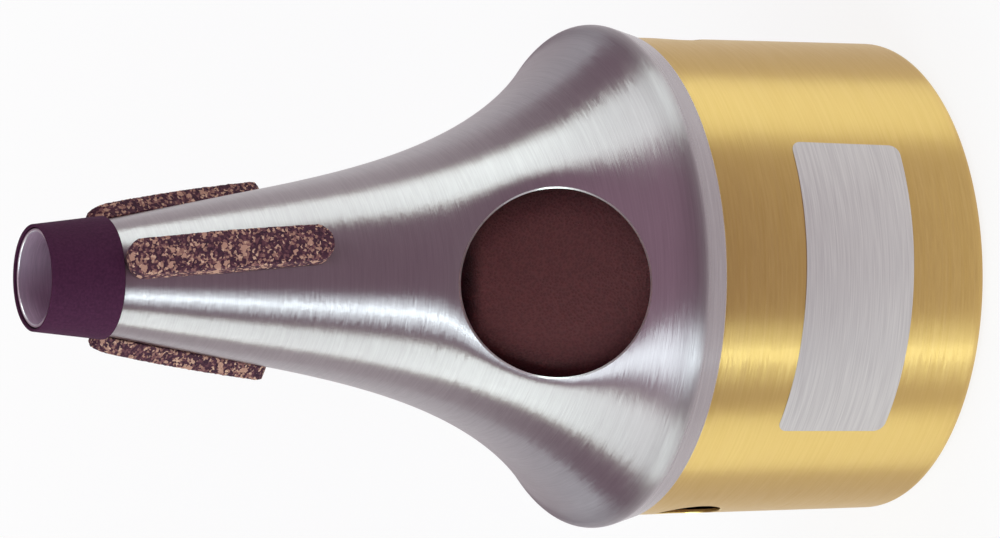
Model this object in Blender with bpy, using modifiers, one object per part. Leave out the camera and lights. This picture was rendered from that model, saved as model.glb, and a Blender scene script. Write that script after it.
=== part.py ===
"""Trumpet bucket mute.

A spun aluminium cone with a trumpet-like flare is pushed over the rim of a drawn brass bucket, and a roll of
foam stands in the bucket and reaches up into the flare, behind its holes. The mute stands on the bucket's
flat closed end, small end up, and the origin is the centre of that end. The two large holes in the flare lie
on the Y axis.
"""
import math

import bmesh
import bpy
from mathutils import Matrix, Vector

# Bucket: a drawn cup with a slight draft
BUCKET_R = 0.0545
BUCKET_DRAFT = 0.0006
BUCKET_H = 0.0670
BUCKET_WALL = 0.0008
BUCKET_CORNER_R = 0.0024
SIDE_HOLE_R = 0.0075
SIDE_HOLE_DROP = 0.0153
SIDE_HOLE_ANGLES = (92.3, -79.3)

# Cone: lip, rolled shoulder, flare, straight taper and neck
CONE_H = 0.1412
CONE_WALL = 0.0007
LIP_ANGLE = 16.4
SHOULDER_OVERHANG = 0.0017
SHOULDER_ROLL_R = 0.0039
FLARE_ANGLE = 49.2
FLARE_PULL_LOW = 0.0291
FLARE_PULL_HIGH = 0.0339
TAPER_ANGLE = 10.5
TAPER_LEN = 0.0395
TAPER_TOP_R = 0.0126
NECK_LEN = 0.0159
NECK_TIP_R = 0.0108
LARGE_HOLE_R = 0.0209
LARGE_HOLE_RISE = 0.0327

# Sleeve on the neck
SLEEVE_WALL = 0.00065
SLEEVE_OVERHANG = 0.0005

# Corks on the taper, cut and glued by eye: each has its own length, its own angle round the axis and its own
# lean off the axis
CORK_1_LEN = 0.0463
CORK_2_LEN = 0.0443
CORK_3_LEN = 0.0436
CORK_ANGLES = (20.4, 127.4, -113.8)
CORK_LEANS = (1.3, 3.0, -0.4)
CORK_W = 0.0087
CORK_THICK = 0.0036
CORK_CROWN = 0.0004
CORK_BEHIND_SLEEVE = 0.0004

# Foam in the bucket and in the flare
FOAM_WALL = 0.0140
FOAM_FLOOR = 0.0120
FOAM_RISE = 0.0459
FOAM_FLARE_GAP = 0.0050
FOAM_BORE_RISE = 0.0050
FOAM_TOP_BORE_R = 0.0130

# Clearance between pieces that touch
FIT = 0.0003

# Facets round a turned piece, along the flare, round an edge and along a cork
STEPS = 80
FLARE_POINTS = 11
ROLL_POINTS = 5
CORNER_POINTS = 4
HOLE_SIDES = 48
CORK_SIDES = 20
CORK_POINTS = 9

# Sizes that follow from the driving ones
TIP_Z = BUCKET_H + CONE_H
BASE_R = BUCKET_R - BUCKET_DRAFT
LIP_R = BUCKET_R + FIT + CONE_WALL
SHOULDER_R = LIP_R + SHOULDER_OVERHANG
SLEEVE_TOP_Z = TIP_Z + SLEEVE_OVERHANG
SLEEVE_BOTTOM_Z = TIP_Z - NECK_LEN


def arc(centre_r, centre_z, radius, start, end, count):
    """Points of a round edge in the half plane, angles in degrees from straight out, up positive."""
    turns = [math.radians(start + (end - start) * i / (count - 1)) for i in range(count)]
    return [(centre_r + radius * math.cos(a), centre_z + radius * math.sin(a)) for a in turns]


def bezier(p0, p1, p2, p3, count):
    """Points of one cubic curve, both ends included."""
    points = []
    for i in range(count):
        u = i / (count - 1)
        w = ((1 - u) ** 3, 3 * (1 - u) ** 2 * u, 3 * (1 - u) * u * u, u ** 3)
        points.append(tuple(sum(k * p[axis] for k, p in zip(w, (p0, p1, p2, p3))) for axis in (0, 1)))
    return points


def step_along(point, angle, length):
    """The point at a distance down the cone's wall, which leans out from the axis by an angle."""
    lean = math.radians(angle)
    return (point[0] + length * math.sin(lean), point[1] - length * math.cos(lean))


def cone_wall(inset=0.0):
    """The wall of the cone from tip to lip, as (radius, height) points, moved in or out from the outer face."""
    roll_r = SHOULDER_ROLL_R - inset
    roll_centre_r = SHOULDER_R - SHOULDER_ROLL_R
    lean = math.radians(LIP_ANGLE)
    lip_drop = (SHOULDER_OVERHANG - SHOULDER_ROLL_R * (1 - math.cos(lean))) / math.tan(lean)
    roll_centre_z = BUCKET_H + lip_drop + SHOULDER_ROLL_R * math.sin(lean)
    roll = arc(roll_centre_r, roll_centre_z, roll_r, FLARE_ANGLE, -LIP_ANGLE, ROLL_POINTS)

    tip = (NECK_TIP_R - inset, TIP_Z)
    taper_top = (TAPER_TOP_R - inset, TIP_Z - NECK_LEN)
    slant = TAPER_LEN / math.cos(math.radians(TAPER_ANGLE))
    taper_end = step_along(taper_top, TAPER_ANGLE, slant)
    flare = bezier(
        taper_end,
        step_along(taper_end, TAPER_ANGLE, FLARE_PULL_HIGH),
        step_along(roll[0], FLARE_ANGLE, -FLARE_PULL_LOW),
        roll[0],
        FLARE_POINTS,
    )
    lip = (LIP_R - inset, BUCKET_H)
    return [tip, taper_top] + flare + roll[1:] + [lip]


def wall_at(height, inset=0.0):
    """Radius of the cone's wall at a height, and how far the wall leans out there, in radians."""
    wall = cone_wall(inset)
    for (r0, z0), (r1, z1) in zip(wall, wall[1:]):
        if z1 <= height <= z0:
            share = (z0 - height) / (z0 - z1)
            return r0 + (r1 - r0) * share, math.atan2(r1 - r0, z0 - z1)
    raise ValueError("no wall at that height")


def height_at(radius, inset):
    """Height at which the cone's wall, coming down from the tip, is as wide as a radius."""
    wall = cone_wall(inset)
    for (r0, z0), (r1, z1) in zip(wall, wall[1:]):
        if r0 <= radius <= r1:
            return z0 + (z1 - z0) * (radius - r0) / (r1 - r0)
    raise ValueError("the cone does not get that wide")


def round_the_axis(angle):
    """Unit vector at an angle from the near side, -Y, turning towards +X."""
    turn = math.radians(angle)
    return Vector((math.sin(turn), -math.cos(turn), 0.0))


def new_material(name, color, metallic, roughness):
    material = bpy.data.materials.new(name)
    material.use_nodes = True
    shader = material.node_tree.nodes["Principled BSDF"]
    shader.inputs["Base Color"].default_value = (*color, 1.0)
    shader.inputs["Metallic"].default_value = metallic
    shader.inputs["Roughness"].default_value = roughness
    return material


def new_object(name, mesh, material, collection):
    if material:
        mesh.materials.append(material)
    piece = bpy.data.objects.new(name, mesh)
    collection.objects.link(piece)
    return piece


def turned(name, profile, material, collection, closed=True):
    """A turned piece: its profile, a run of (radius, height) points down the outer side, and a Screw."""
    mesh = bpy.data.meshes.new(name)
    edges = [(i, i + 1) for i in range(len(profile) - 1)]
    if closed:
        edges.append((len(profile) - 1, 0))
    mesh.from_pydata([(r, 0.0, z) for r, z in profile], edges, [])
    piece = new_object(name, mesh, material, collection)
    screw = piece.modifiers.new("Turn", "SCREW")
    screw.axis = "Z"
    screw.steps = STEPS
    screw.render_steps = STEPS
    screw.use_merge_vertices = True
    screw.merge_threshold = 0.00001
    screw.use_smooth_shade = True
    return piece


def drill(name, radius, centre, direction, inward, outward, collection):
    """A round cutter through a wall, centred on the wall's face."""
    mesh = bpy.data.meshes.new(name)
    shape = bmesh.new()
    bmesh.ops.create_cone(
        shape,
        cap_ends=True,
        segments=HOLE_SIDES,
        radius1=radius,
        radius2=radius,
        depth=inward + outward,
        matrix=Matrix.Translation((0.0, 0.0, (outward - inward) / 2)),
    )
    shape.to_mesh(mesh)
    shape.free()
    cutter = new_object(name, mesh, None, collection)
    cutter.location = centre
    cutter.rotation_euler = direction.to_track_quat("Z", "Y").to_euler()
    cutter.hide_render = True
    cutter.display_type = "WIRE"
    return cutter


def cut(piece, tool, operation="DIFFERENCE"):
    boolean = piece.modifiers.new(tool.name, "BOOLEAN")
    boolean.operation = operation
    boolean.object = tool


def make_bucket(parts, cutters):
    """Drawn cup: floor, corner and wall in one piece, with a small hole on either side. The rim stops one
    clearance short of the inside of the flare."""
    inner_corner = BUCKET_CORNER_R - BUCKET_WALL
    rim = height_at(BUCKET_R + FIT, CONE_WALL) - FIT
    outside = [(BUCKET_R, rim), (BUCKET_R, BUCKET_H)]
    outside += arc(BASE_R - BUCKET_CORNER_R, BUCKET_CORNER_R, BUCKET_CORNER_R, 0, -90, CORNER_POINTS)
    inside = [(0.0, BUCKET_WALL)]
    inside += arc(BASE_R - BUCKET_CORNER_R, BUCKET_CORNER_R, inner_corner, -90, 0, CORNER_POINTS)
    inside += [(BUCKET_R - BUCKET_WALL, BUCKET_H), (BUCKET_R - BUCKET_WALL, rim)]
    brass = new_material("drawn_brass", (0.60, 0.44, 0.17), 1.0, 0.35)
    bucket = turned("bucket_cup", inside + outside + [(0.0, 0.0)], brass, parts, closed=False)
    for number, angle in enumerate(SIDE_HOLE_ANGLES):
        outward = round_the_axis(angle)
        centre = outward * BUCKET_R + Vector((0.0, 0.0, BUCKET_H - SIDE_HOLE_DROP))
        depth = SIDE_HOLE_R
        cut(bucket, drill(f"side_hole_{number}", SIDE_HOLE_R, centre, outward, depth, depth, cutters))


def make_cone(parts, cutters):
    """Spun shell with a rolled shoulder. The two large holes are square to the flare where they pass it."""
    wall = cone_wall()
    inside = cone_wall(CONE_WALL)
    aluminium = new_material("spun_aluminium", (0.55, 0.54, 0.56), 1.0, 0.32)
    cone = turned("cone_shell", wall + inside[::-1], aluminium, parts)
    radius, lean = wall_at(BUCKET_H + LARGE_HOLE_RISE)
    for number, angle in enumerate((0.0, 180.0)):
        outward = round_the_axis(angle)
        centre = outward * radius + Vector((0.0, 0.0, BUCKET_H + LARGE_HOLE_RISE))
        square = outward * math.cos(lean) + Vector((0.0, 0.0, math.sin(lean)))
        depth = LARGE_HOLE_R * 0.7
        cut(cone, drill(f"large_hole_{number}", LARGE_HOLE_R, centre, square, depth, depth, cutters))


def make_sleeve(parts):
    """Rubber tube stretched over the neck, its front edge rounded and just past the metal tip."""
    slope = (TAPER_TOP_R - NECK_TIP_R) / NECK_LEN
    inner_top = NECK_TIP_R + FIT - slope * SLEEVE_OVERHANG
    inner_bottom = TAPER_TOP_R + FIT
    half = SLEEVE_WALL / 2
    profile = [
        (inner_top, SLEEVE_TOP_Z - half),
        (inner_top + half, SLEEVE_TOP_Z),
        (inner_top + SLEEVE_WALL, SLEEVE_TOP_Z - half),
        (inner_bottom + SLEEVE_WALL, SLEEVE_BOTTOM_Z + half),
        (inner_bottom + half, SLEEVE_BOTTOM_Z),
        (inner_bottom, SLEEVE_BOTTOM_Z),
    ]
    rubber = new_material("black_rubber", (0.03, 0.02, 0.03), 0.0, 0.75)
    turned("neck_sleeve", profile, rubber, parts)


def cork_sheet(length):
    """Profile of a ring of cork on the taper, a clearance off it, and fullest in the middle of a length."""
    outer = []
    inner = []
    for i in range(CORK_POINTS):
        share = i / (CORK_POINTS - 1)
        radius, lean = wall_at(SLEEVE_BOTTOM_Z - (length + CORK_BEHIND_SLEEVE) * share)
        thick = CORK_THICK + CORK_CROWN * (1 - (2 * share - 1) ** 2)
        height = SLEEVE_BOTTOM_Z - (length + CORK_BEHIND_SLEEVE) * share
        for points, lift in ((inner, FIT), (outer, FIT + thick)):
            points.append((radius + lift * math.cos(lean), height + lift * math.sin(lean)))
    return outer + inner[::-1]


def make_corks(parts, cutters):
    """Cork strips with round ends, each cut by a stadium from a ring that follows the taper."""
    cork = new_material("granulated_cork", (0.28, 0.15, 0.08), 0.0, 0.9)
    reach = 2 * (TAPER_TOP_R + CORK_THICK)
    slope = math.radians(TAPER_ANGLE)
    lengths = (CORK_1_LEN, CORK_2_LEN, CORK_3_LEN)
    for number, (length, angle, lean) in enumerate(zip(lengths, CORK_ANGLES, CORK_LEANS), start=1):
        strip = turned(f"cork_strip_{number}", cork_sheet(length), cork, parts)
        mesh = bpy.data.meshes.new(f"cork_outline_{number}")
        shape = bmesh.new()
        bmesh.ops.create_cone(
            shape,
            cap_ends=True,
            segments=CORK_SIDES,
            radius1=CORK_W / 2,
            radius2=CORK_W / 2,
            depth=reach,
            matrix=Matrix.Translation((0.0, 0.0, reach / 2)),
        )
        for vert in shape.verts:
            if abs(vert.co.y) > CORK_W * 0.01:
                vert.co.y += math.copysign((length - CORK_W) / 2, vert.co.y)
        shape.to_mesh(mesh)
        shape.free()
        outline = new_object(mesh.name, mesh, None, cutters)
        outward = round_the_axis(angle)
        normal = outward * math.cos(slope) + Vector((0.0, 0.0, math.sin(slope)))
        uphill = outward * -math.sin(slope) + Vector((0.0, 0.0, math.cos(slope)))
        middle = SLEEVE_BOTTOM_Z - CORK_BEHIND_SLEEVE - length / 2 * math.cos(slope)
        place = outward * wall_at(middle)[0] + Vector((0.0, 0.0, middle)) - normal * (reach / 2)
        square = Matrix((uphill.cross(normal), uphill, normal)).transposed()
        swing = Matrix.Rotation(math.radians(lean), 3, "Z")
        outline.matrix_world = Matrix.Translation(place) @ (square @ swing).to_4x4()
        outline.hide_render = True
        outline.display_type = "WIRE"
        cut(strip, outline, "INTERSECT")


def make_foam(parts):
    """A foam disc on the bucket's floor, and a foam roll on the disc that narrows to follow the flare."""
    foam = new_material("brown_foam", (0.07, 0.03, 0.03), 0.0, 0.95)
    radius = BASE_R - BUCKET_WALL - FIT
    floor = BUCKET_WALL + FIT
    edge = BUCKET_CORNER_R - BUCKET_WALL
    pad_top = floor + FOAM_FLOOR
    pad = [(0.0, pad_top), (radius, pad_top), (radius, floor + edge), (radius - edge, floor), (0.0, floor)]
    turned("foam_base_pad", pad, foam, parts, closed=False)

    top = BUCKET_H + FOAM_RISE
    bottom = pad_top + FIT
    inset = CONE_WALL + FOAM_FLARE_GAP
    flare = cone_wall(inset)[2 : 2 + FLARE_POINTS]
    roll = [(FOAM_TOP_BORE_R, top), (wall_at(top, inset)[0], top)]
    roll += [(r, z) for r, z in flare if r < radius and z < top]
    roll += [(radius, BUCKET_H), (radius, bottom), (radius - FOAM_WALL, bottom)]
    roll.append((radius - FOAM_WALL, BUCKET_H + FOAM_BORE_RISE))
    turned("foam_liner", roll, foam, parts)


def build():
    for old in list(bpy.data.objects):
        bpy.data.objects.remove(old)
    parts = bpy.data.collections.new("trumpet_bucket_mute")
    cutters = bpy.data.collections.new("cutters")
    for collection in (parts, cutters):
        bpy.context.scene.collection.children.link(collection)
    make_bucket(parts, cutters)
    make_foam(parts)
    make_cone(parts, cutters)
    make_sleeve(parts)
    make_corks(parts, cutters)


build()
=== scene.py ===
"""Trumpet bucket mute: the finish of every piece, the light and the camera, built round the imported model."""
import math

import bpy
from mathutils import Matrix, Vector


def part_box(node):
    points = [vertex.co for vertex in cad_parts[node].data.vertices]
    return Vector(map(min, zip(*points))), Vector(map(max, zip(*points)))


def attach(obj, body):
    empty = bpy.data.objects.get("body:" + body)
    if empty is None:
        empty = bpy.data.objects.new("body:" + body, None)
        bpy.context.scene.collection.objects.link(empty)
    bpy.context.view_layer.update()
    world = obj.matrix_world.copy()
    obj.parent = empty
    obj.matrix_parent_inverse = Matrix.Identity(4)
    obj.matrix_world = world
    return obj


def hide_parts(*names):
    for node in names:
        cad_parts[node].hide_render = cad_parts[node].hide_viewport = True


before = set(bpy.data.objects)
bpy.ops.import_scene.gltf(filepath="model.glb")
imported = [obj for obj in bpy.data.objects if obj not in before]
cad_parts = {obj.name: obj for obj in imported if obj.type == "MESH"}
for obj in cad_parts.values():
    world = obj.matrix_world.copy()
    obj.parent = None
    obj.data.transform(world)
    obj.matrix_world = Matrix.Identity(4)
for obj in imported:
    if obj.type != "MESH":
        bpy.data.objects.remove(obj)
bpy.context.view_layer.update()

# Cone shell: one piece of 0.7 mm aluminium, spun over a wooden former and brushed on the lathe, so every tool
# mark runs round the axis. The inside is left as spun, duller in gloss and rougher, and its colour is painted
# paler than the outside's, painted light on the tube's inner wall. The two large holes are punched square to
# the flare. Their edges and the tube's lip are broken with a fine chamfer that is burnished smoother, and its
# colour is painted paler than the wall's, a painted highlight along every rim.
FIT = 0.0003
BUCKET_R = 0.0545
BUCKET_H = 0.0670
CONE_WALL = 0.0007
CONE_TIP_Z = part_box("cone_shell")[1].z
NECK_TIP_R = 0.0108
TAPER_TOP_R = 0.0126
NECK_LEN = 0.0159
TAPER_LEN = 0.0395
TAPER_ANGLE = math.radians(10.5)
FLARE_ANGLE = math.radians(49.2)
LIP_ANGLE = math.radians(16.4)
FLARE_PULL_LOW = 0.0291
FLARE_PULL_HIGH = 0.0339
LIP_R = BUCKET_R + FIT + CONE_WALL
SHOULDER_OVERHANG = 0.0017
SHOULDER_ROLL_R = 0.0039
LARGE_HOLE_R = 0.0209
LARGE_HOLE_RISE = 0.0327
LARGE_HOLE_CHAMFER = 0.00040
LARGE_HOLE_REACH = LARGE_HOLE_R * 0.7
PUNCH_LEAN = math.radians(17)
PUNCH_DRAW_WIDE = 0.0046
PUNCH_DRAW_NARROW = 0.0019
EDGE_BREAK = 0.00030
TRIMMED_EDGE = math.radians(60)
CONE_LINE = 0.00019
CONE_LINE_DEPTH = 0.000022
LINE_LAPS = 8.0
STREAK_LAPS = 2.5
TOOL_MARK_LAPS = 2.0
EDGE_GRAIN_LAPS = 30.0
SCUFF_FROM = 0.0125
SCUFF_FULL = 0.0088
SCUFF_DULL = 0.10
BURNISH_FROM = 0.0068
BURNISH_FULL = 0.0046
BURNISH_GLOSS = 0.08
ROUND_STEPS = 320
HOLE_STEPS = 192
NECK_STEPS = 4
TAPER_STEPS = 10
FLARE_STEPS = 60
ROLL_STEPS = 14
LIP_STEPS = 4
SHARP = math.radians(22)
MERGE_GAP = 0.000001


def select_only(piece):
    """Leave one object selected and active, in object mode."""
    bpy.ops.object.select_all(action="DESELECT")
    piece.select_set(True)
    bpy.context.view_layer.objects.active = piece


def to_linear(code):
    """The linear colour of an sRGB hex value."""
    parts = [int(code[i : i + 2], 16) / 255 for i in (0, 2, 4)]
    return tuple(c / 12.92 if c <= 0.04045 else ((c + 0.055) / 1.055) ** 2.4 for c in parts) + (1.0,)


def node(tree, kind, inputs=None, **settings):
    """Add a node with its settings; an input is a value or another node's output."""
    new = tree.nodes.new(kind)
    for key, value in settings.items():
        setattr(new, key, value)
    for key, value in (inputs or {}).items():
        if isinstance(value, bpy.types.NodeSocket):
            tree.links.new(value, new.inputs[key])
        else:
            new.inputs[key].default_value = value
    return new


def new_finish(name, **values):
    """A material with values set on its Principled shader, as (material, tree, shader)."""
    finish = bpy.data.materials.new(name)
    finish.use_nodes = True
    shader = finish.node_tree.nodes["Principled BSDF"]
    for key, value in values.items():
        shader.inputs[key.replace("_", " ").title().replace("Ior", "IOR")].default_value = value
    return finish, finish.node_tree, shader


def tint(tree, mask, low, high, low_at=0.3, high_at=0.7):
    """A colour between two hex values, led by a mask; a noise stays mostly between 0.3 and 0.7."""
    ramp = node(tree, "ShaderNodeValToRGB", {"Fac": mask})
    ramp.color_ramp.elements[0].position = low_at
    ramp.color_ramp.elements[1].position = high_at
    ramp.color_ramp.elements[0].color = to_linear(low)
    ramp.color_ramp.elements[1].color = to_linear(high)
    return ramp.outputs["Color"]


def lathe_lines(tree, width, laps):
    """Noise drawn out into lines round the Z axis, so wide along the wall, with so many laps a radian."""
    place = node(tree, "ShaderNodeTexCoord").outputs["Object"]
    far = node(tree, "ShaderNodeVectorMath", {0: place, 1: (1, 1, 0)}, operation="MULTIPLY").outputs[0]
    radius = node(tree, "ShaderNodeVectorMath", {0: far}, operation="LENGTH").outputs["Value"]
    height = node(tree, "ShaderNodeSeparateXYZ", {0: place}).outputs["Z"]
    along = node(tree, "ShaderNodeMath", {0: height, 1: radius}, operation="SUBTRACT").outputs[0]
    count = node(tree, "ShaderNodeMath", {0: along, 1: 1 / width}, operation="MULTIPLY").outputs[0]
    column = node(tree, "ShaderNodeCombineXYZ", {"Z": count}).outputs[0]
    turn = node(tree, "ShaderNodeVectorMath", {0: far}, operation="NORMALIZE").outputs[0]
    spread = {0: turn, 1: (laps, laps, 0), 2: column}
    ring = node(tree, "ShaderNodeVectorMath", spread, operation="MULTIPLY_ADD").outputs[0]
    return node(tree, "ShaderNodeTexNoise", {"Vector": ring, "Scale": 1.0, "Detail": 2.0})


def brush(tree, shader, width, depth, low, high, smooth, rough, waver):
    """Brush a metal on the lathe: grooves that each lean a little, and change its colour and gloss."""
    lines = lathe_lines(tree, width, LINE_LAPS)
    bump = node(tree, "ShaderNodeBump", {"Height": lines.outputs["Fac"], "Distance": depth}).outputs[0]
    centred = {0: lines.outputs["Color"], 1: (0.5, 0.5, 0.5)}
    centred = node(tree, "ShaderNodeVectorMath", centred, operation="SUBTRACT").outputs[0]
    lean = {0: centred, 1: (waver,) * 3, 2: bump}
    lean = node(tree, "ShaderNodeVectorMath", lean, operation="MULTIPLY_ADD").outputs[0]
    normal = node(tree, "ShaderNodeVectorMath", {0: lean}, operation="NORMALIZE")
    tree.links.new(normal.outputs[0], shader.inputs["Normal"])
    streaks = lathe_lines(tree, 2 * width, STREAK_LAPS).outputs["Fac"]
    tree.links.new(tint(tree, streaks, low, high), shader.inputs["Base Color"])
    gloss = {0: lines.outputs["Fac"], 1: 0.3, 2: 0.7, 3: smooth, 4: rough}
    gloss = node(tree, "ShaderNodeMapRange", gloss).outputs[0]
    tree.links.new(gloss, shader.inputs["Roughness"])
    tangent = node(tree, "ShaderNodeTangent", direction_type="RADIAL", axis="Z")
    tree.links.new(tangent.outputs[0], shader.inputs["Tangent"])
    return gloss


# Brushed aluminium: the grooves spread a reflection along the mute and keep it sharp round it, which draws
# the long light bands. They are about 0.1 mm wide on the real one, and are drawn twice as wide so that they
# show. Handling has scuffed the low end of the flare dull, and has burnished the shoulder below it.
SPUN = {"metallic": 1.0, "anisotropic": 1.0, "anisotropic_rotation": 0.25}
aluminium, tree, shader = new_finish("brushed_aluminium", **SPUN)
gloss = brush(tree, shader, CONE_LINE, CONE_LINE_DEPTH, "A79FA2", "B0A8AB", 0.30, 0.35, 0.15)
scuffed = (SCUFF_FROM, SCUFF_FULL, SCUFF_DULL)
burnished = (BURNISH_FROM, BURNISH_FULL, -SCUFF_DULL - BURNISH_GLOSS)
place = node(tree, "ShaderNodeTexCoord").outputs["Object"]
height = node(tree, "ShaderNodeSeparateXYZ", {0: place}).outputs["Z"]
for start, full, change in (scuffed, burnished):
    worn = {0: height, 1: BUCKET_H + start, 2: BUCKET_H + full, 3: 0.0, 4: change}
    worn = node(tree, "ShaderNodeMapRange", worn, interpolation_type="SMOOTHSTEP").outputs[0]
    gloss = node(tree, "ShaderNodeMath", {0: gloss, 1: worn}, operation="ADD").outputs[0]
tree.links.new(gloss, shader.inputs["Roughness"])
# The inside's colour is painted paler than the outside's: painted light for the inner wall of the tube.
inside, tree, shader = new_finish("as_spun_aluminium_painted_lit", metallic=1.0, roughness=0.60)
marks = lathe_lines(tree, 2 * CONE_LINE, TOOL_MARK_LAPS).outputs["Fac"]
tree.links.new(tint(tree, marks, "DCC3D6", "EDD5E7"), shader.inputs["Base Color"])
bump = node(tree, "ShaderNodeBump", {"Height": marks, "Distance": CONE_LINE_DEPTH})
tree.links.new(bump.outputs[0], shader.inputs["Normal"])
# The chamfers and the lip are burnished smoother, and their colour is painted paler than the wall's, a painted
# highlight along every rim.
pale_edge_painted_glint, tree, shader = new_finish("burnished_edge_painted_glint", metallic=1.0, roughness=0.34)
grain = lathe_lines(tree, 2 * CONE_LINE, EDGE_GRAIN_LAPS).outputs["Fac"]
tree.links.new(tint(tree, grain, "E4E0E2", "F2F0F0"), shader.inputs["Base Color"])


def cone_face():
    """The cone's outer face from tip to lip, as (radius, height) points."""
    roll_r = LIP_R + SHOULDER_OVERHANG - SHOULDER_ROLL_R
    lip_drop = (SHOULDER_OVERHANG - SHOULDER_ROLL_R * (1 - math.cos(LIP_ANGLE))) / math.tan(LIP_ANGLE)
    roll_z = BUCKET_H + lip_drop + SHOULDER_ROLL_R * math.sin(LIP_ANGLE)
    turns = [FLARE_ANGLE + (-LIP_ANGLE - FLARE_ANGLE) * i / ROLL_STEPS for i in range(ROLL_STEPS + 1)]
    roll = [(roll_r + SHOULDER_ROLL_R * math.cos(a), roll_z + SHOULDER_ROLL_R * math.sin(a)) for a in turns]
    top = Vector((TAPER_TOP_R, CONE_TIP_Z - NECK_LEN))
    slope = Vector((math.sin(TAPER_ANGLE), -math.cos(TAPER_ANGLE)))
    start = top + slope * (TAPER_LEN / math.cos(TAPER_ANGLE))
    end = Vector(roll[0])
    out = Vector((math.sin(FLARE_ANGLE), -math.cos(FLARE_ANGLE)))
    points = [(NECK_TIP_R, CONE_TIP_Z)]
    points += [tuple(Vector(points[0]).lerp(top, i / NECK_STEPS)) for i in range(1, NECK_STEPS)]
    points += [tuple(top.lerp(start, i / TAPER_STEPS)) for i in range(TAPER_STEPS)]
    for i in range(FLARE_STEPS):
        u = i / FLARE_STEPS
        near = start * (1 - u) ** 3 + (start + slope * FLARE_PULL_HIGH) * 3 * (1 - u) ** 2 * u
        points.append(tuple(near + (end - out * FLARE_PULL_LOW) * 3 * (1 - u) * u * u + end * u ** 3))
    lip = Vector((LIP_R, BUCKET_H))
    inwards = [tuple(Vector(roll[-1]).lerp(lip, i / LIP_STEPS)) for i in range(1, LIP_STEPS + 1)]
    return points + roll + inwards


def spin_up(name, points, steps=ROUND_STEPS):
    """Draw a ring at the first point and pull it along the profile, ring by ring."""
    bpy.ops.mesh.primitive_circle_add(vertices=steps, radius=points[0][0], location=(0, 0, points[0][1]))
    piece = bpy.context.object
    piece.name = piece.data.name = name
    bpy.ops.object.transform_apply(location=True)
    bpy.ops.object.mode_set(mode="EDIT")
    bpy.ops.mesh.select_all(action="SELECT")
    for (r0, z0), (r1, z1) in zip(points, points[1:]):
        bpy.ops.mesh.extrude_region_move(TRANSFORM_OT_translate={"value": (0, 0, z1 - z0)})
        share = r1 / r0
        bpy.ops.transform.resize(value=(share, share, 1), center_override=(0, 0, z1))
    bpy.ops.mesh.select_all(action="SELECT")
    bpy.ops.mesh.normals_make_consistent(inside=False)
    bpy.ops.object.mode_set(mode="OBJECT")
    return piece


def close_rings(piece):
    """Merge a profile's first ring with its last, fill any end that is open, and turn the faces outwards."""
    select_only(piece)
    bpy.ops.object.mode_set(mode="EDIT")
    bpy.ops.mesh.select_all(action="SELECT")
    bpy.ops.mesh.remove_doubles(threshold=MERGE_GAP)
    bpy.ops.mesh.fill_holes(sides=0)
    bpy.ops.mesh.select_all(action="SELECT")
    bpy.ops.mesh.normals_make_consistent(inside=False)
    bpy.ops.object.mode_set(mode="OBJECT")


def apply_all(piece):
    """Apply every modifier of a piece, in order."""
    select_only(piece)
    for modifier in list(piece.modifiers):
        bpy.ops.object.modifier_apply(modifier=modifier.name)


def thicken(piece, wall):
    """Give a spun skin its wall, inwards, and break the edges where it was trimmed."""
    skin = piece.modifiers.new("Wall", "SOLIDIFY")
    skin.thickness = wall
    skin.offset = -1
    skin.use_even_offset = True
    skin.material_offset = 1
    skin.material_offset_rim = 2
    broken = piece.modifiers.new("Broken edge", "BEVEL")
    broken.width = EDGE_BREAK
    broken.segments = 2
    broken.limit_method = "ANGLE"
    broken.angle_limit = TRIMMED_EDGE
    broken.material = 2
    apply_all(piece)


def draw_in(piece, radius, centre, outward):
    """Lean the wall inwards round a hole to come, as a punch drags it, further on the hole's +X side."""
    for vert in piece.data.vertices:
        arm = vert.co - centre
        arm -= outward * arm.dot(outward)
        if vert.co.dot(outward) < 0 or arm.length < radius / 2:
            continue
        share = (1 + arm.x / arm.length) / 2
        width = PUNCH_DRAW_NARROW + (PUNCH_DRAW_WIDE - PUNCH_DRAW_NARROW) * share
        depth = width * math.tan(PUNCH_LEAN)
        past = (arm.length - radius) / width
        vert.co -= outward * depth * (math.exp(-past) if past > 0 else 1 - past)
    piece.data.update()


def drill(piece, radius, chamfer, centre, outward, reach, edge):
    """Punch a round hole square to a wall, with a chamfer that follows the wall's curve round the hole."""
    over = chamfer / 4
    rings = [(radius, -reach), (radius, 0), (radius + chamfer + over, 0), (radius + chamfer + over, reach)]
    punch = spin_up("punch", rings, steps=HOLE_STEPS)
    close_rings(punch)
    place = Matrix.Translation(centre) @ outward.to_track_quat("Z", "Y").to_matrix().to_4x4()
    for vert in punch.data.vertices:
        if abs(vert.co.z) > reach / 2:
            continue
        wide = vert.co.xy.length > radius + over
        share = (radius + chamfer * wide) / vert.co.xy.length
        above = place @ Vector((vert.co.x * share, vert.co.y * share, reach))
        found, spot, _, _ = piece.ray_cast(above, -outward)
        vert.co.z = (spot - centre).dot(outward) + (over if wide else -chamfer)
    punch.data.transform(place)
    punch.data.materials.append(edge)
    hole = piece.modifiers.new("Hole", "BOOLEAN")
    hole.object = punch
    hole.operation = "DIFFERENCE"
    hole.material_mode = "TRANSFER"
    apply_all(piece)
    bpy.data.objects.remove(punch)


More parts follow.
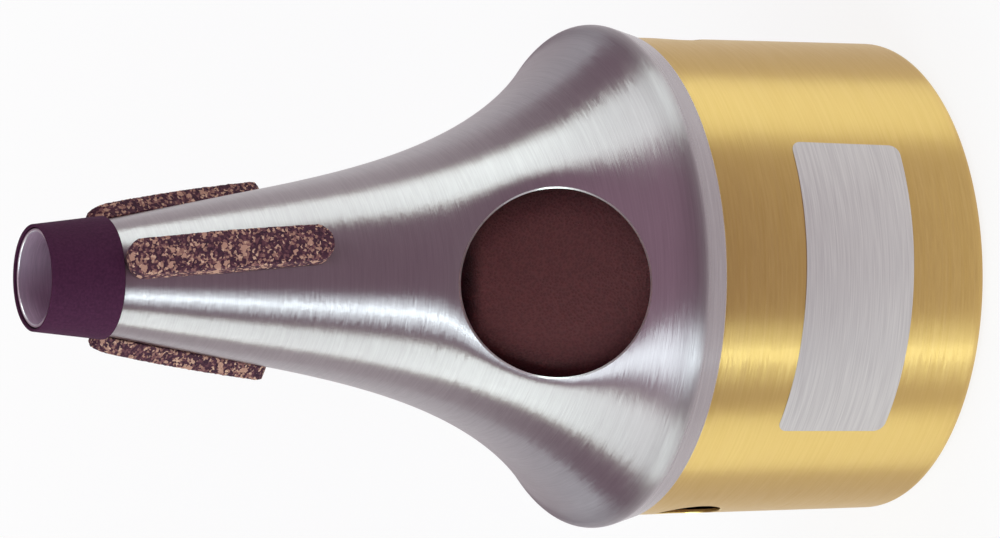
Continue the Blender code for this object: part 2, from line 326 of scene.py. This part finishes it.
face = cone_face()
cone = spin_up("spun_cone", face)
for finish in (aluminium, inside, pale_edge_painted_glint):
    cone.data.materials.append(finish)
hole_z = BUCKET_H + LARGE_HOLE_RISE
above, below = next((a, b) for a, b in zip(face, face[1:]) if a[1] >= hole_z >= b[1])
hole_r = above[0] + (below[0] - above[0]) * (above[1] - hole_z) / (above[1] - below[1])
lean = math.atan2(below[0] - above[0], above[1] - below[1])
squares = [Vector((0, side * math.cos(lean), math.sin(lean))) for side in (-1, 1)]
spots = [Vector((0, side * hole_r, hole_z)) for side in (-1, 1)]
for spot, square in zip(spots, squares):
    draw_in(cone, LARGE_HOLE_R, spot, square)
thicken(cone, CONE_WALL)
for spot, square in zip(spots, squares):
    drill(cone, LARGE_HOLE_R, LARGE_HOLE_CHAMFER, spot, square, LARGE_HOLE_REACH, pale_edge_painted_glint)
select_only(cone)
bpy.ops.object.shade_smooth_by_angle(angle=SHARP)
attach(cone, "cone")
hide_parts("cone_shell")

# Bucket: a brass cup, deep drawn, brushed on the lathe and clear lacquered, so it is a little smoother than
# the cone. It slips inside the cone's lip. The two small holes near the seam are drilled, and foam shows in
# them.
BUCKET_DRAFT = 0.0006
BUCKET_WALL = 0.0008
BUCKET_CORNER_R = 0.0024
BUCKET_RIM_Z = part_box("bucket_cup")[1].z
SIDE_HOLE_R = 0.0075
SIDE_HOLE_DROP = 0.0153
SIDE_HOLE_ANGLES = (math.radians(92.3), math.radians(-79.3))
SIDE_HOLE_CHAMFER = 0.0002
BUCKET_LINE = 0.00024
BUCKET_LINE_DEPTH = 0.000016
BUCKET_STEPS = 12
FLOOR_RINGS = (0.75, 0.5, 0.25, 0.125)
BASE_R = BUCKET_R - BUCKET_DRAFT

# Lacquered brass: yellow where a lamp is seen in it and browner between the lamps.
brass, tree, shader = new_finish("lacquered_brass", **SPUN)
brush(tree, shader, BUCKET_LINE, BUCKET_LINE_DEPTH, "D2B06B", "D7B674", 0.32, 0.38, 0.11)
dull_brass, tree, shader = new_finish("as_drawn_brass", metallic=1.0, roughness=0.45)
marks = lathe_lines(tree, 2 * BUCKET_LINE, TOOL_MARK_LAPS).outputs["Fac"]
tree.links.new(tint(tree, marks, "9C7C48", "AE8F55"), shader.inputs["Base Color"])
brass_edge, tree, shader = new_finish("burnished_brass_edge", metallic=1.0, roughness=0.25)
grain = lathe_lines(tree, 2 * BUCKET_LINE, EDGE_GRAIN_LAPS).outputs["Fac"]
tree.links.new(tint(tree, grain, "D2B56A", "E0C67E"), shader.inputs["Base Color"])

centre_r = BASE_R - BUCKET_CORNER_R
corner = [math.radians(-90 * i / BUCKET_STEPS) for i in range(BUCKET_STEPS + 1)]
straight = BUCKET_H - BUCKET_CORNER_R
drops = [i / BUCKET_STEPS for i in range(BUCKET_STEPS)]
outside = [(BUCKET_R, BUCKET_RIM_Z)]
outside += [(BUCKET_R - BUCKET_DRAFT * share, BUCKET_H - straight * share) for share in drops]
outside += [(centre_r + BUCKET_CORNER_R * math.cos(a), BUCKET_CORNER_R * (1 + math.sin(a))) for a in corner]
outside += [(centre_r * share, 0.0) for share in FLOOR_RINGS]
bucket = spin_up("drawn_bucket", outside)
for finish in (brass, dull_brass, brass_edge):
    bucket.data.materials.append(finish)
# This closes the middle of the floor. It also closes the rim with a disc that the real bucket doesn't have,
# because every face is still selected here. Deselecting them first leaves the mouth open. Known fault.
last_ring = centre_r * FLOOR_RINGS[-1] + FIT
for edge in bucket.data.edges:
    ends = [bucket.data.vertices[i].co for i in edge.vertices]
    edge.select = all(end.z < FIT and end.xy.length < last_ring for end in ends)
for vert in bucket.data.vertices:
    vert.select = vert.co.z < FIT and vert.co.xy.length < last_ring
bpy.ops.object.mode_set(mode="EDIT")
bpy.ops.mesh.edge_face_add()
bpy.ops.mesh.select_all(action="SELECT")
bpy.ops.mesh.normals_make_consistent(inside=False)
bpy.ops.object.mode_set(mode="OBJECT")
thicken(bucket, BUCKET_WALL)
for turn in SIDE_HOLE_ANGLES:
    outward = Vector((math.sin(turn), -math.cos(turn), 0))
    spot = outward * BUCKET_R + Vector((0, 0, BUCKET_H - SIDE_HOLE_DROP))
    drill(bucket, SIDE_HOLE_R, SIDE_HOLE_CHAMFER, spot, outward, SIDE_HOLE_R, brass_edge)
select_only(bucket)
bpy.ops.object.shade_smooth_by_angle(angle=SHARP)
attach(bucket, "bucket")
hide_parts("bucket_cup")

# Foam: open-cell foam, a disc on the floor of the cup and a roll that stands on it and narrows up into the
# flare. It is soft and springy, so its cut edges are rounded, and light that falls on it spreads inside. Its
# skin is pitted with cells, drawn a little coarser than the real ones.
FOAM_CELL = 0.0006
FOAM_EDGE = 0.0020
FOAM_SPREAD = 0.020
CAD_MERGE_GAP = 0.00001
foam, tree, shader = new_finish("open_cell_foam", roughness=0.95, subsurface_weight=1.0)
shader.inputs["Subsurface Radius"].default_value = (1.0, 0.6, 0.6)
shader.inputs["Subsurface Scale"].default_value = FOAM_SPREAD
place = node(tree, "ShaderNodeTexCoord").outputs["Object"]
cells = node(tree, "ShaderNodeTexVoronoi", {"Vector": place, "Scale": 1 / FOAM_CELL})
bump = node(tree, "ShaderNodeBump", {"Height": cells.outputs["Distance"], "Distance": FOAM_CELL / 2})
tree.links.new(bump.outputs[0], shader.inputs["Normal"])
tree.links.new(tint(tree, cells.outputs["Distance"], "4E2122", "572829"), shader.inputs["Base Color"])


def copy_node(name, new_name, finish):
    """A merged copy of a CAD node's mesh, at the origin, with one material."""
    select_only(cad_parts[name])
    bpy.ops.object.duplicate()
    copy = bpy.context.object
    copy.name = copy.data.name = new_name
    copy.parent = None
    copy.matrix_world = Matrix()
    bpy.ops.object.mode_set(mode="EDIT")
    bpy.ops.mesh.select_all(action="SELECT")
    bpy.ops.mesh.remove_doubles(threshold=CAD_MERGE_GAP)
    bpy.ops.object.mode_set(mode="OBJECT")
    copy.data.materials.clear()
    copy.data.materials.append(finish)
    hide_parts(name)
    return copy


for name in ("foam_liner", "foam_base_pad"):
    pad = copy_node(name, f"soft_{name}", foam)
    edges = pad.modifiers.new("Soft edges", "BEVEL")
    edges.width = FOAM_EDGE
    edges.segments = 3
    edges.limit_method = "ANGLE"
    edges.angle_limit = SHARP
    apply_all(pad)
    bpy.ops.object.shade_smooth_by_angle(angle=SHARP)
    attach(pad, "bucket")

# Sleeve: a length of black rubber tube stretched over the neck, matte, with soft edges where it was cut. Dust
# and mould marks give it a few lighter specks.
SLEEVE_WALL = 0.00065
SLEEVE_TOP_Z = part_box("neck_sleeve")[1].z
SLEEVE_EDGE = 0.0002
SLEEVE_CUT = math.radians(50)
SLEEVE_GRAIN = 0.0006
SLEEVE_GRAIN_DEPTH = 0.00006
rubber, tree, shader = new_finish("matte_rubber", roughness=0.8, specular_ior_level=0.12)
place = node(tree, "ShaderNodeTexCoord").outputs["Object"]
grain = node(tree, "ShaderNodeTexNoise", {"Vector": place, "Scale": 1 / SLEEVE_GRAIN, "Detail": 4.0})
bump = node(tree, "ShaderNodeBump", {"Height": grain.outputs[0], "Distance": SLEEVE_GRAIN_DEPTH})
tree.links.new(bump.outputs[0], shader.inputs["Normal"])
tree.links.new(tint(tree, grain.outputs[0], "3A1830", "461F39"), shader.inputs["Base Color"])

sleeve_r = FIT + SLEEVE_WALL
top_ring = Vector((NECK_TIP_R + sleeve_r, SLEEVE_TOP_Z))
low_ring = Vector((TAPER_TOP_R + sleeve_r, CONE_TIP_Z - NECK_LEN))
down = Vector((0, SLEEVE_EDGE))
in_a_little = Vector((SLEEVE_EDGE, 0))
bore = Vector((SLEEVE_WALL, 0))
rings = [top_ring - bore - down, top_ring - bore + in_a_little, top_ring - in_a_little, top_ring - down]
rings += [(top_ring - down).lerp(low_ring + down, i / 8) for i in range(1, 9)]
rings += [low_ring - in_a_little, low_ring - bore, top_ring - bore - down]
sleeve = spin_up("stretched_sleeve", [tuple(ring) for ring in rings])
close_rings(sleeve)
bpy.ops.object.shade_smooth_by_angle(angle=SLEEVE_CUT)
sleeve.data.materials.append(rubber)
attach(sleeve, "cone")
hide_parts("neck_sleeve")

# Corks: strips of pressed cork, light granules in dark binder, cut with round ends and glued by eye on the
# taper. The cut is torn rather than clean, so the faces are rough and the edges are worn round.
CORK_GRANULE = 0.00052
CORK_CHIP = 0.0011
CORK_CHIP_SHARE = 0.05
CORK_VOXEL = 0.00035
CORK_TEAR = 0.00016
cork, tree, shader = new_finish("pressed_cork", roughness=0.85, specular_ior_level=0.3)
place = node(tree, "ShaderNodeTexCoord").outputs["Object"]
stir = node(tree, "ShaderNodeTexNoise", {"Vector": place, "Scale": 1 / CORK_GRANULE, "Detail": 2.0})
drift = {0: stir.outputs["Color"], 1: (CORK_GRANULE,) * 3, 2: place}
ragged = node(tree, "ShaderNodeVectorMath", drift, operation="MULTIPLY_ADD").outputs[0]
granules = node(tree, "ShaderNodeTexVoronoi", {"Vector": ragged, "Scale": 1 / CORK_GRANULE})
tone = node(tree, "ShaderNodeSeparateColor", {0: granules.outputs["Color"]}).outputs[0]
ramp = node(tree, "ShaderNodeValToRGB", {"Fac": tone})
ramp.color_ramp.elements[0].color = to_linear("351A2A")
ramp.color_ramp.elements[1].color = to_linear("C9A18B")
for position, code in ((0.52, "4A2735"), (0.70, "70464A"), (0.88, "A27868")):
    ramp.color_ramp.elements.new(position).color = to_linear(code)
chips = node(tree, "ShaderNodeTexVoronoi", {"Vector": ragged, "Scale": 1 / CORK_CHIP})
pick = node(tree, "ShaderNodeSeparateColor", {0: chips.outputs["Color"]}).outputs[1]
pick = node(tree, "ShaderNodeMath", {0: pick, 1: 1 - CORK_CHIP_SHARE}, operation="GREATER_THAN").outputs[0]
tone = {"Factor": pick, 6: ramp.outputs[0], 7: to_linear("B08574")}
tone = node(tree, "ShaderNodeMix", tone, data_type="RGBA").outputs[2]
tree.links.new(tone, shader.inputs["Base Color"])
bump = node(tree, "ShaderNodeBump", {"Height": granules.outputs["Distance"], "Distance": CORK_GRANULE / 4})
tree.links.new(bump.outputs[0], shader.inputs["Normal"])

torn = bpy.data.textures.new("torn_granules", "VORONOI")
torn.noise_scale = CORK_GRANULE
for number in (1, 2, 3):
    strip = copy_node(f"cork_strip_{number}", f"cork_{number}", cork)
    skin = strip.modifiers.new("Skin", "REMESH")
    skin.mode = "VOXEL"
    skin.voxel_size = CORK_VOXEL
    worn = strip.modifiers.new("Worn edges", "SMOOTH")
    worn.iterations = 3
    tear = strip.modifiers.new("Torn granules", "DISPLACE")
    tear.texture = torn
    tear.strength = CORK_TEAR
    apply_all(strip)
    bpy.ops.object.shade_smooth()
    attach(strip, "cone")

# Label: a bare rectangle of silver foil with rounded corners, stuck on the barrel a little askew. The foil
# was brushed along its length, which runs round the barrel.
LABEL_DROP = 0.1617
LABEL_TOP_Z = CONE_TIP_Z - LABEL_DROP
LABEL_H = 0.0274
LABEL_ARC = math.radians(72.8)
LABEL_TURN = math.radians(-0.8)
LABEL_CORNER_R = 0.0024
LABEL_SKEW = math.radians(-1.5)
LABEL_LIFT = 0.00014
LABEL_THICK = 0.8 * LABEL_LIFT
LABEL_LINE = 0.0003
LABEL_LINE_LAPS = 4.0
LABEL_LINE_DEPTH = 0.00001
foil, tree, shader = new_finish("brushed_foil", metallic=0.85, roughness=0.42)
lines = lathe_lines(tree, LABEL_LINE, LABEL_LINE_LAPS).outputs["Fac"]
tree.links.new(tint(tree, lines, "BDB8B8", "CFCBC9"), shader.inputs["Base Color"])
bump = node(tree, "ShaderNodeBump", {"Height": lines, "Distance": LABEL_LINE_DEPTH})
tree.links.new(bump.outputs[0], shader.inputs["Normal"])

bpy.ops.mesh.primitive_grid_add(x_subdivisions=96, y_subdivisions=40, size=2.0)
label = bpy.context.object
label.name = label.data.name = "foil_label"
half_w = LABEL_ARC * BUCKET_R / 2
half_h = LABEL_H / 2
for vert in label.data.vertices:
    y = half_h * math.sin(vert.co.y * math.pi / 2)
    into_corner = max(abs(y) - half_h + LABEL_CORNER_R, 0.0)
    cut = LABEL_CORNER_R - math.sqrt(max(LABEL_CORNER_R ** 2 - into_corner ** 2, 0.0))
    x = vert.co.x * (half_w - cut)
    round_it = x * math.cos(LABEL_SKEW) - y * math.sin(LABEL_SKEW)
    z = LABEL_TOP_Z - half_h + x * math.sin(LABEL_SKEW) + y * math.cos(LABEL_SKEW)
    radius = BUCKET_R - BUCKET_DRAFT * (BUCKET_H - z) / straight + LABEL_LIFT
    turn = LABEL_TURN + round_it / BUCKET_R
    vert.co = (radius * math.sin(turn), -radius * math.cos(turn), z)
label.data.materials.append(foil)
select_only(label)
bpy.ops.object.mode_set(mode="EDIT")
bpy.ops.mesh.select_all(action="SELECT")
bpy.ops.mesh.remove_doubles(threshold=MERGE_GAP)
bpy.ops.object.mode_set(mode="OBJECT")
skin = label.modifiers.new("Thickness", "SOLIDIFY")
skin.thickness = LABEL_THICK
skin.offset = -1
apply_all(label)
bpy.ops.object.shade_smooth_by_angle(angle=SHARP)
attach(label, "bucket")

# Camera: a long lens that looks down on the small end. The picture is turned a quarter, with the small end to
# the left.
PX = 0.0002176
VIEW_TILT = math.radians(26.1)
VIEW_TURN = math.radians(2.6)
VIEW_ROLL = math.radians(-0.13)
PICTURE_WIDE = 1000
CAMERA_FAR = 6000 * PX
TIP_ACROSS = -465.4 * PX
TIP_UP = 8.9 * PX
near = Vector((math.sin(VIEW_TURN), -math.cos(VIEW_TURN), 0))
image_up = Vector((math.cos(VIEW_TURN), math.sin(VIEW_TURN), 0))
right = near * math.sin(VIEW_TILT) - Vector((0, 0, math.cos(VIEW_TILT)))
back = near * math.cos(VIEW_TILT) + Vector((0, 0, math.sin(VIEW_TILT)))
level_right, level_up = right, image_up
right = level_right * math.cos(VIEW_ROLL) + level_up * math.sin(VIEW_ROLL)
image_up = level_up * math.cos(VIEW_ROLL) - level_right * math.sin(VIEW_ROLL)
lens = bpy.data.cameras.new("long_lens")
lens.sensor_width = 36.0
lens.lens = lens.sensor_width * CAMERA_FAR / (PICTURE_WIDE * PX)
lens.clip_end = 40.0
camera = bpy.data.objects.new("long_lens", lens)
bpy.context.scene.collection.objects.link(camera)
spot = Vector((0, 0, CONE_TIP_Z)) - right * TIP_ACROSS + image_up * TIP_UP + back * CAMERA_FAR
camera.matrix_world = Matrix.Translation(spot) @ Matrix((right, image_up, back)).transposed().to_4x4()
bpy.context.scene.camera = camera

# Floor: a wide sheet of white paper. Near the mute, most of its white is its own to the camera and in
# reflections, and the rest is the light that falls on it, so the mute's soft shadow stays. Further out, all
# of its white is its own. In reflections only, its glow is painted down to a dark plum in front of the mute,
# a painted shade that the metal shows as a darker floor. The camera still sees white paper there.
PAPER_WIDE = 30.0
PAPER_DROP = 0.0005
PAPER_OWN_WHITE = 0.84
SHADOW_REACH = 0.3
REFLECTION_SHADE_FROM = 0.08
REFLECTION_SHADE_TO = 0.25
bpy.ops.mesh.primitive_plane_add(size=PAPER_WIDE, location=(0, 0, -PAPER_DROP))
floor = bpy.context.object
floor.name = "paper_floor"
paper, tree, shader = new_finish("white_paper", base_color=to_linear("F4F4F4"), roughness=0.9)
path = node(tree, "ShaderNodeLightPath")
seen = {0: path.outputs["Is Camera Ray"], 1: path.outputs["Is Glossy Ray"]}
seen = node(tree, "ShaderNodeMath", seen, operation="MAXIMUM").outputs[0]
seen = {0: seen, 1: path.outputs["Is Transmission Ray"]}
seen = node(tree, "ShaderNodeMath", seen, operation="MAXIMUM").outputs[0]
place = node(tree, "ShaderNodeTexCoord").outputs["Object"]
away = node(tree, "ShaderNodeVectorMath", {0: place}, operation="LENGTH").outputs["Value"]
own = {0: away, 1: SHADOW_REACH, 2: 3 * SHADOW_REACH, 3: PAPER_OWN_WHITE, 4: 1.0}
own = node(tree, "ShaderNodeMapRange", own).outputs[0]
share = node(tree, "ShaderNodeMath", {0: seen, 1: own}, operation="MULTIPLY").outputs[0]
# Painted reflection shade: for glossy rays only, the paper's glow goes from white to dark plum on the mute's
# camera side.
depth = node(tree, "ShaderNodeSeparateXYZ", {0: place}).outputs["Y"]
reflection_shade_mask = node(tree, "ShaderNodeMapRange", {0: depth, 1: -REFLECTION_SHADE_TO, 2: -REFLECTION_SHADE_FROM}).outputs[0]
painted_reflection_tone = tint(tree, reflection_shade_mask, "88697A", "FFFDFE", 0.0, 1.0)
tone = {"Factor": path.outputs["Is Glossy Ray"], 6: to_linear("FFFFFF"), 7: painted_reflection_tone}
tone = node(tree, "ShaderNodeMix", tone, data_type="RGBA").outputs[2]
glow = node(tree, "ShaderNodeEmission", {"Color": tone, "Strength": 1.0}).outputs[0]
both = node(tree, "ShaderNodeMixShader", {0: share, 1: shader.outputs[0], 2: glow})
tree.links.new(both.outputs[0], tree.nodes["Material Output"].inputs["Surface"])
floor.data.materials.append(paper)

# Light: a dim plum-grey room and tall soft boxes round the mute, out of the camera's sight. The grooves of
# the brushing draw each of them into a band that runs the whole length of the metal.
ROOM_STRENGTH = 2.15
world = bpy.data.worlds.new("studio")
bpy.context.scene.world = world
world.use_nodes = True
tree = world.node_tree
outwards = node(tree, "ShaderNodeTexCoord").outputs["Generated"]
height = node(tree, "ShaderNodeSeparateXYZ", {0: outwards}).outputs["Z"]
room = tree.nodes["Background"]
tree.links.new(tint(tree, height, "604F5A", "8B7382", 0.45, 0.9), room.inputs["Color"])
room.inputs["Strength"].default_value = ROOM_STRENGTH

# A box is a stack of lamp rows, and each row has its ends where the metal shows them at the same turn as the
# other rows do. A steep wall sees the low rows and a flat one the high rows, so the band's edges run straight
# on over every slope. Some boxes have a frame, the edge of their cloth, which glows a faint yellow-green.
# A box is its name, the turns of its two sides as the metal shows them, its lowest and highest rise over
# level, its rows, its glow, and its frame's width. The angles are in degrees.
MIDDLE = Vector((0, 0, 0.1))
BOX_FAR = 1.4
BOX_POWER = 4
SOFT_BOX_TONE = (0.79, 1.0, 1.0)
FRAME_TONE = (0.95, 1.0, 0.30)
FRAME_GLOW = 0.12
SOFT_BOXES = (
    ("upper_low_box", (35.5, 53.5), (0, 8), 1, 4.5, 1.5),
    ("upper_middle_box", (32.5, 54.0), (8, 24), 2, 2.3, 1.5),
    ("upper_box", (32.5, 52.5), (24, 44), 3, 0.62, 1.0),
    ("upper_high_box", (31.5, 56.0), (44, 62), 3, 1.05, 1.0),
    ("core_strip_box", (-20.3, -16.7), (0, 8), 1, 15.0, 0),
    ("low_strip_box", (-25.0, -11.5), (0, 12), 1, 0.9, 0),
    ("strip_box", (-25.5, -11.5), (12, 50), 4, 2.8, 0),
    ("strip_high_box", (-25.0, -12.5), (50, 74), 3, 1.15, 0),
    ("lower_low_box", (-52.5, -35.0), (0, 8), 1, 4.4, 1.5),
    ("lower_middle_box", (-53.0, -33.0), (8, 24), 2, 2.3, 1.5),
    ("lower_box", (-52.5, -33.0), (24, 44), 3, 0.60, 1.5),
    ("lower_high_box", (-54.0, -31.5), (44, 62), 3, 1.05, 1.5),
    ("lower_back_box", (-90.0, -69.0), (10, 24), 2, 1.0, 0),
    ("upper_back_box", (72.0, 90.0), (10, 24), 2, 0.75, 0),
)


def mirrored(turn, rise):
    """The turn of a lamp at this rise that the metal shows at the given turn, whatever the wall's slope."""
    reach = math.cos(VIEW_TILT) * math.sin(turn) / math.cos(rise)
    return turn + math.asin(max(-1.0, min(1.0, reach)))


def hang_lamp(name, start, end, rise, tall, glow, tone):
    """A flat lamp that faces the mute, from one turn to another, so tall round its rise, all as angles."""
    turn = (start + end) / 2 + VIEW_TURN
    flat = Vector((math.sin(turn), -math.cos(turn), 0))
    aim = flat * math.cos(rise) + Vector((0, 0, math.sin(rise)))
    across = Vector((0, 0, 1)).cross(aim).normalized()
    axes = Matrix((across, aim.cross(across), aim)).transposed().to_4x4()
    lamp = bpy.data.lights.new(name, "AREA")
    lamp.shape = "RECTANGLE"
    lamp.size = 2 * BOX_FAR * math.cos(rise) * math.tan((end - start) / 2)
    lamp.size_y = 2 * BOX_FAR * math.tan(tall / 2)
    lamp.energy = BOX_POWER * lamp.size * lamp.size_y * glow
    lamp.color = tone
    hung = bpy.data.objects.new(name, lamp)
    hung.visible_camera = False
    bpy.context.scene.collection.objects.link(hung)
    hung.matrix_world = Matrix.Translation(MIDDLE + aim * BOX_FAR) @ axes


for name, (start, end), (low, high), rows, glow, frame_wide in SOFT_BOXES:
    tall = math.radians(high - low) / rows
    for row in range(rows):
        rise = math.radians(low) + tall * (row + 0.5)
        turns = [mirrored(math.radians(side), rise) for side in (start, end)]
        hang_lamp(f"{name}_{row}", *turns, rise, tall, glow, SOFT_BOX_TONE)
        if frame_wide:
            sides = (start - frame_wide, end + frame_wide)
            turns = [mirrored(math.radians(side), rise) for side in sides]
            hang_lamp(f"{name}_{row}_frame", *turns, rise, tall, glow * FRAME_GLOW, FRAME_TONE)
bpy.context.scene.view_settings.view_transform = "Standard"
